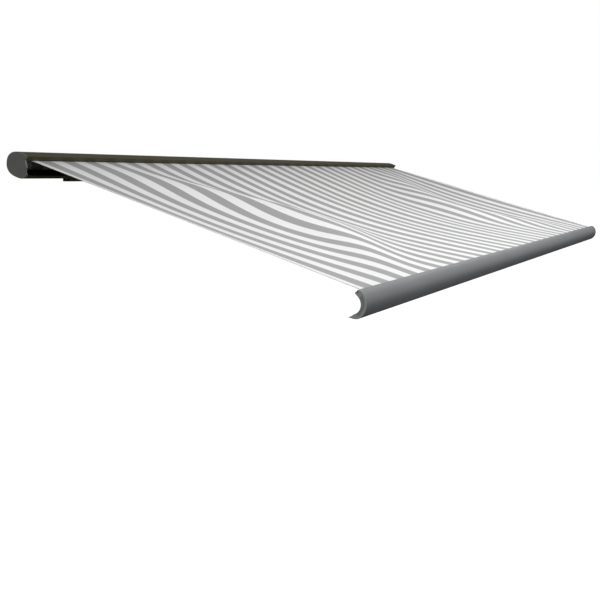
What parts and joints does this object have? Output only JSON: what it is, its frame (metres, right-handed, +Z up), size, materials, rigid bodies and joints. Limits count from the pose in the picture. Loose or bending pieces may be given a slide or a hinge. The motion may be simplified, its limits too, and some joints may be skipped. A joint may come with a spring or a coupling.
{
  "type": "folding arm awning",
  "caption": "Retractable patio awning with a closed cassette, two folding arms, striped fabric and a crescent front bar.",
  "frame": {"origin": "middle of the centre wall bracket's back face, on the wall plane", "axes": "+X along the cassette to the right seen from outside, +Y into the wall, +Z up"},
  "size_m": [5.5, 2.6218, 0.838],
  "materials": {
    "anthracite": "fine textured powder coat",
    "bar_grey": "satin powder coat",
    "cap_grey": "matt moulded",
    "black_cast": "black coated casting",
    "arm_grey": "powder coat",
    "steel": "bright",
    "zinc": "galvanised",
    "cloth": "woven acrylic, grey and white stripes",
    "rubber": "matt",
    "black_plastic": "matt"
  },
  "bodies": {
    "cassette": {"cassette_back_shell": "anthracite", "cassette_top_cover": "anthracite", "end_cap_left": "cap_grey", "end_cap_right": "cap_grey", "wall_bracket_left": "black_cast", "wall_bracket_centre": "black_cast", "wall_bracket_right": "black_cast", "shoulder_bracket_left": "black_cast", "shoulder_bracket_right": "black_cast", "shoulder_pin_left": "steel", "shoulder_pin_right": "steel", "shoulder_bolt_left_1": "steel", "shoulder_bolt_left_2": "steel", "shoulder_bolt_right_1": "steel", "shoulder_bolt_right_2": "steel", "tube_motor": "black_plastic", "idler_bearing": "black_plastic", "fabric_cover": "cloth"},
    "roller": {"roller_tube": "zinc", "roller_keder": "rubber", "fabric_roll": "cloth", "motor_drive_wheel": "black_plastic", "roller_end_plug": "black_plastic"},
    "left_upper": {"left_upper_arm": "arm_grey", "left_shoulder_knuckle": "black_cast", "left_elbow_fork": "black_cast", "left_elbow_pin": "steel"},
    "left_lower": {"left_forearm": "arm_grey", "left_elbow_tongue": "black_cast", "left_elbow_belt": "rubber", "left_wrist_knuckle": "black_cast"},
    "right_upper": {"right_upper_arm": "arm_grey", "right_shoulder_knuckle": "black_cast", "right_elbow_fork": "black_cast", "right_elbow_pin": "steel"},
    "right_lower": {"right_forearm": "arm_grey", "right_elbow_tongue": "black_cast", "right_elbow_belt": "rubber", "right_wrist_knuckle": "black_cast"},
    "drop_bar": {"front_bar": "bar_grey", "front_bar_cap_left": "cap_grey", "front_bar_cap_right": "cap_grey", "front_keder": "rubber", "wrist_bracket_left": "black_cast", "wrist_bracket_right": "black_cast", "wrist_pin_left": "steel", "wrist_pin_right": "steel", "wrist_bolt_left_1": "steel", "wrist_bolt_left_2": "steel", "wrist_bolt_right_1": "steel", "wrist_bolt_right_2": "steel"}
  },
  "joints": [
    {"name": "left_shoulder", "type": "hinge", "parent": "cassette", "child": "left_upper", "pos_m": [-2.17, -0.16136, -0.02115], "axis": [0, -0.2689, 0.9632], "range_deg": [0, 57.6], "deforming": ["fabric_cover"]},
    {"name": "left_elbow", "type": "hinge", "parent": "left_upper", "child": "left_lower", "pos_m": [-1.41, -1.35328, -0.35393], "axis": [0, -0.2689, 0.9632], "range_deg": [-115.3, 0.1]},
    {"name": "left_wrist", "type": "hinge", "parent": "left_lower", "child": "drop_bar", "pos_m": [-2.17, -2.54519, -0.68672], "axis": [0, -0.2689, 0.9632], "range_deg": [-0.1, 57.7]},
    {"name": "right_shoulder", "type": "hinge", "parent": "cassette", "child": "right_upper", "pos_m": [2.17, -0.16136, -0.02115], "axis": [0, -0.2689, 0.9632], "range_deg": [-57.7, 0.1]},
    {"name": "right_elbow", "type": "hinge", "parent": "right_upper", "child": "right_lower", "pos_m": [1.41, -1.35328, -0.35393], "axis": [0, -0.2689, 0.9632], "range_deg": [-0.1, 115.3]},
    {"name": "roller_spin", "type": "hinge", "parent": "cassette", "child": "roller", "pos_m": [0, -0.09959, 0.01417], "axis": [-1, 0, 0], "range_deg": [-1, 3206]}
  ],
  "couplings": [
    {"joint": "left_elbow", "follows": "left_shoulder", "ratio": -2},
    {"joint": "left_wrist", "follows": "left_shoulder", "ratio": 1},
    {"joint": "right_shoulder", "follows": "left_shoulder", "ratio": -1},
    {"joint": "right_elbow", "follows": "left_shoulder", "ratio": 2},
    {"joint": "roller_spin", "follows": "left_shoulder", "ratio": 55.6}
  ]
}
